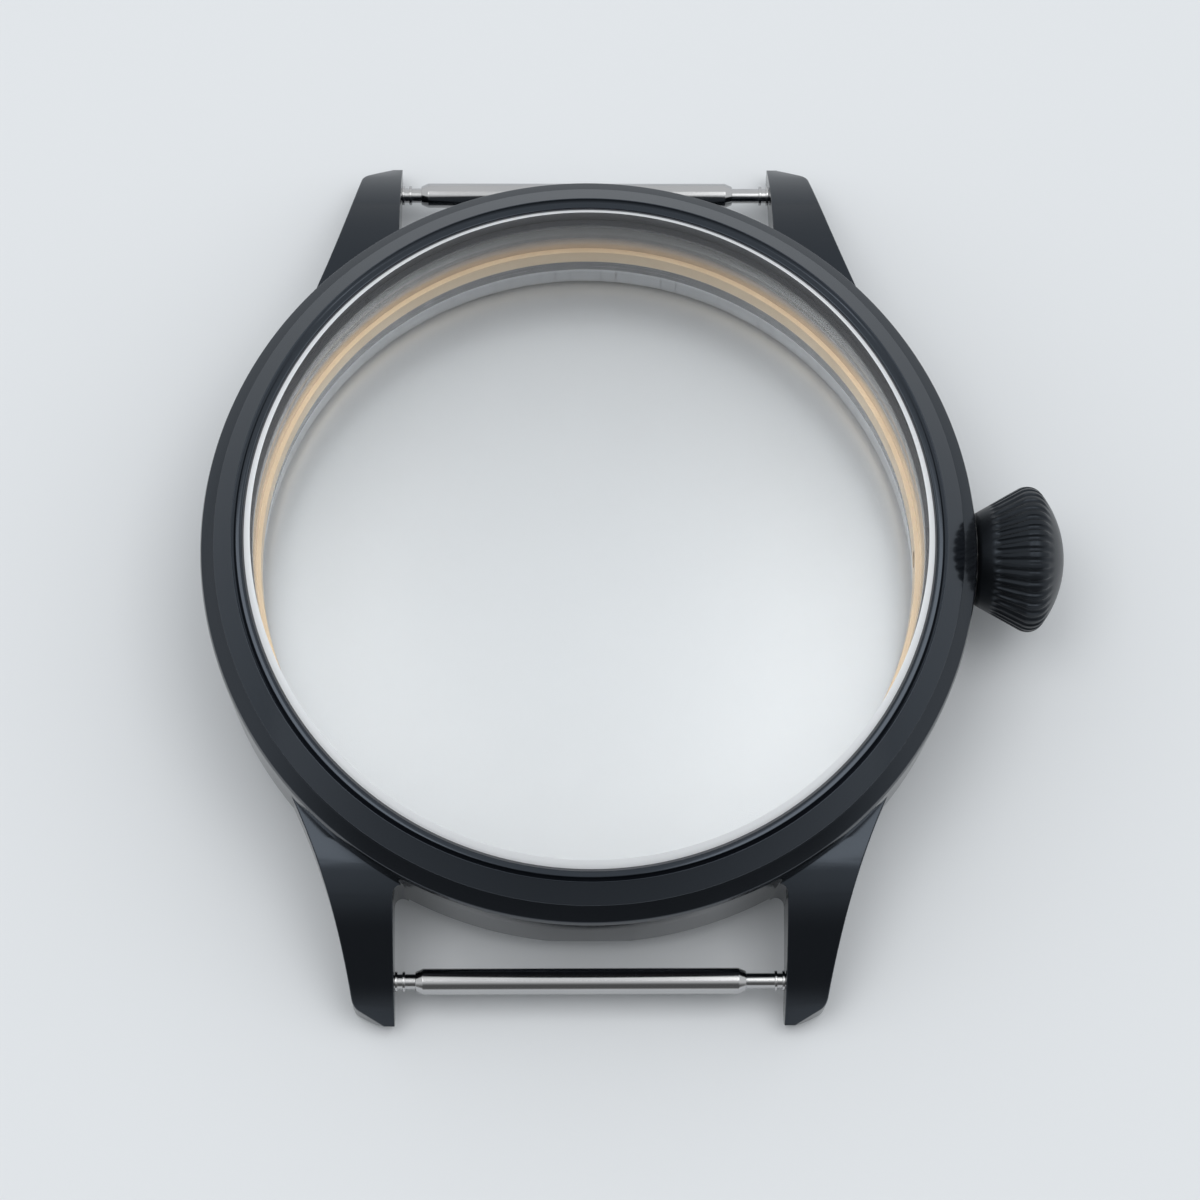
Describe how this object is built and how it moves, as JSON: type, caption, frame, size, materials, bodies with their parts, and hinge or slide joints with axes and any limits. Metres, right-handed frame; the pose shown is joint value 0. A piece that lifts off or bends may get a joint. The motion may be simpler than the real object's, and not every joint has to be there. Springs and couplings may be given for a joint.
{
  "type": "watch case",
  "caption": "Round black wristwatch case, empty, with curved lugs, spring bars, a fluted onion crown, a clear front and a screwed back with a window.",
  "frame": {"origin": "on the case's axis, in the plane of the ledge of the movement ring", "axes": "+Z out of the front glass, +X towards the crown at three o'clock, +Y towards twelve o'clock"},
  "size_m": [0.0491, 0.0522, 0.012],
  "materials": {
    "case_black": "satin black coating on steel",
    "crown_black": "satin black coating on steel",
    "back_steel": "fine turned steel, black coated outside",
    "ring_gilt": "satin gilt",
    "clear_glass": "polished, clear",
    "seal_nylon": "translucent nylon",
    "seal_black": "matt",
    "bar_steel": "turned bright steel",
    "steel_plain": "turned steel",
    "spring_steel": "drawn wire"
  },
  "bodies": {
    "case": {"mid_case": "case_black", "bezel": "case_black", "bezel_gasket": "seal_black", "crystal": "clear_glass", "crystal_gasket": "seal_nylon", "movement_ring": "ring_gilt", "crown_tube": "steel_plain"},
    "back_seal": {"case_back_gasket": "seal_black"},
    "back": {"case_back": "back_steel", "back_window": "clear_glass", "back_window_gasket": "seal_nylon"},
    "crown_seal": {"crown_gasket": "seal_black"},
    "crown": {"crown": "crown_black", "crown_post": "steel_plain", "crown_washer": "steel_plain"},
    "upper_bar": {"upper_bar_tube": "bar_steel", "upper_bar_spring": "spring_steel"},
    "upper_left_pin": {"upper_bar_left_pin": "bar_steel"},
    "upper_right_pin": {"upper_bar_right_pin": "bar_steel"},
    "lower_bar": {"lower_bar_tube": "bar_steel", "lower_bar_spring": "spring_steel"},
    "lower_left_pin": {"lower_bar_left_pin": "bar_steel"},
    "lower_right_pin": {"lower_bar_right_pin": "bar_steel"}
  },
  "joints": [
    {"name": "back_lift", "type": "slide", "parent": "case", "child": "back_seal", "axis": [0, 0, -1], "range_m": [0, 0.0015]},
    {"name": "back_turn", "type": "hinge", "parent": "back_seal", "child": "back", "pos_m": [0, 0, -0.00345], "axis": [0, 0, -1], "range_deg": [0, 1080]},
    {"name": "crown_pull", "type": "slide", "parent": "case", "child": "crown_seal", "axis": [1, 0, 0], "range_m": [0, 0.0015]},
    {"name": "crown_turn", "type": "hinge", "parent": "crown_seal", "child": "crown", "pos_m": [0.02205, 0, -0.0006], "axis": [1, 0, 0], "continuous": true},
    {"name": "upper_bar_turn", "type": "hinge", "parent": "case", "child": "upper_bar", "pos_m": [0, 0.02382, -0.00376], "axis": [1, 0, 0], "continuous": true},
    {"name": "upper_left_pin_press", "type": "slide", "parent": "upper_bar", "child": "upper_left_pin", "axis": [1, 0, 0], "range_m": [0, 0.0005], "stiffness_N_per_m": 500, "deforming": ["upper_bar_spring"]},
    {"name": "upper_right_pin_press", "type": "slide", "parent": "upper_bar", "child": "upper_right_pin", "axis": [-1, 0, 0], "range_m": [0, 0.00155], "stiffness_N_per_m": 500, "deforming": ["upper_bar_spring"]},
    {"name": "lower_bar_turn", "type": "hinge", "parent": "case", "child": "lower_bar", "pos_m": [0, -0.02382, -0.00376], "axis": [1, 0, 0], "continuous": true},
    {"name": "lower_left_pin_press", "type": "slide", "parent": "lower_bar", "child": "lower_left_pin", "axis": [1, 0, 0], "range_m": [0, 0.0005], "stiffness_N_per_m": 500, "deforming": ["lower_bar_spring"]},
    {"name": "lower_right_pin_press", "type": "slide", "parent": "lower_bar", "child": "lower_right_pin", "axis": [-1, 0, 0], "range_m": [0, 0.00155], "stiffness_N_per_m": 500, "deforming": ["lower_bar_spring"]}
  ],
  "couplings": [
    {"joint": "back_lift", "follows": "back_turn", "m_per_rad": 0.000079577}
  ]
}
